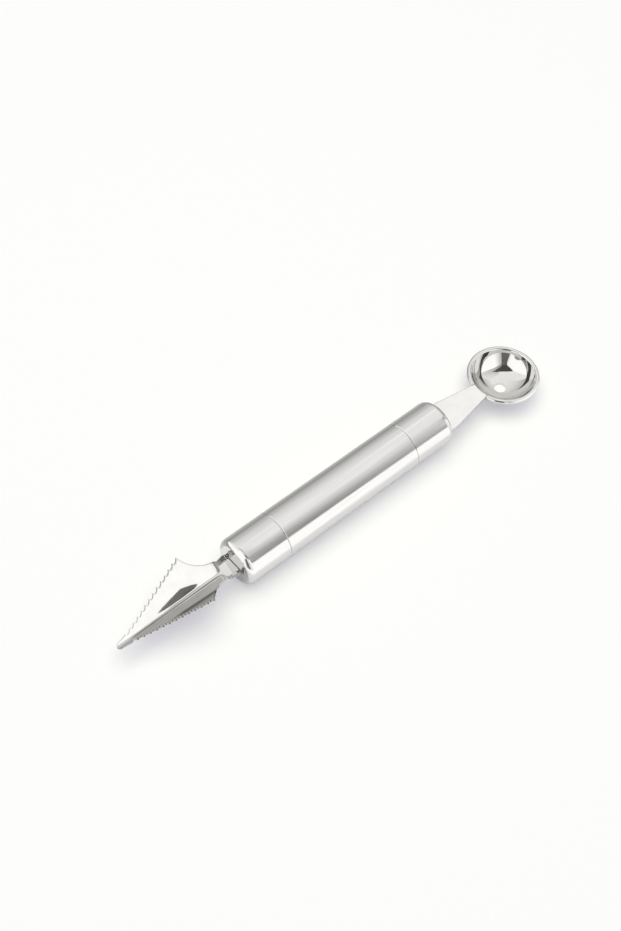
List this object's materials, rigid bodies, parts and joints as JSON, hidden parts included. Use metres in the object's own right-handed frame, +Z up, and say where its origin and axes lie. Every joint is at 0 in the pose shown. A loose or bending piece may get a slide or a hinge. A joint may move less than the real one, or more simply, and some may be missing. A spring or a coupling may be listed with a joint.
{
  "type": "melon baller",
  "caption": "Double-ended melon baller: a round steel handle with a folded, serrated V-shaped carving blade at one end and a bowl-shaped scoop with a rolled lip and a vent at the other.",
  "frame": {"origin": "on the table below the middle of the handle, the centre of the base of the whole tool's box", "axes": "+X along the handle from the carving blade to the scoop, +Z up with the blade's trough and the bowl open upward"},
  "size_m": [0.21, 0.03, 0.0195],
  "materials": {
    "handle_steel": "satin stainless tube",
    "tool_steel": "mirror-polished stainless sheet",
    "plug_plastic": "plain moulded plastic",
    "pin_steel": "plain drawn wire"
  },
  "bodies": {
    "root": {"handle_tube": "handle_steel", "blade_end_cup": "handle_steel", "scoop_end_cup": "handle_steel", "carving_blade": "tool_steel", "melon_scoop": "tool_steel", "blade_tang_plug": "plug_plastic", "scoop_tang_plug": "plug_plastic", "blade_tang_pin": "pin_steel", "scoop_tang_pin": "pin_steel"}
  },
  "joints": []
}
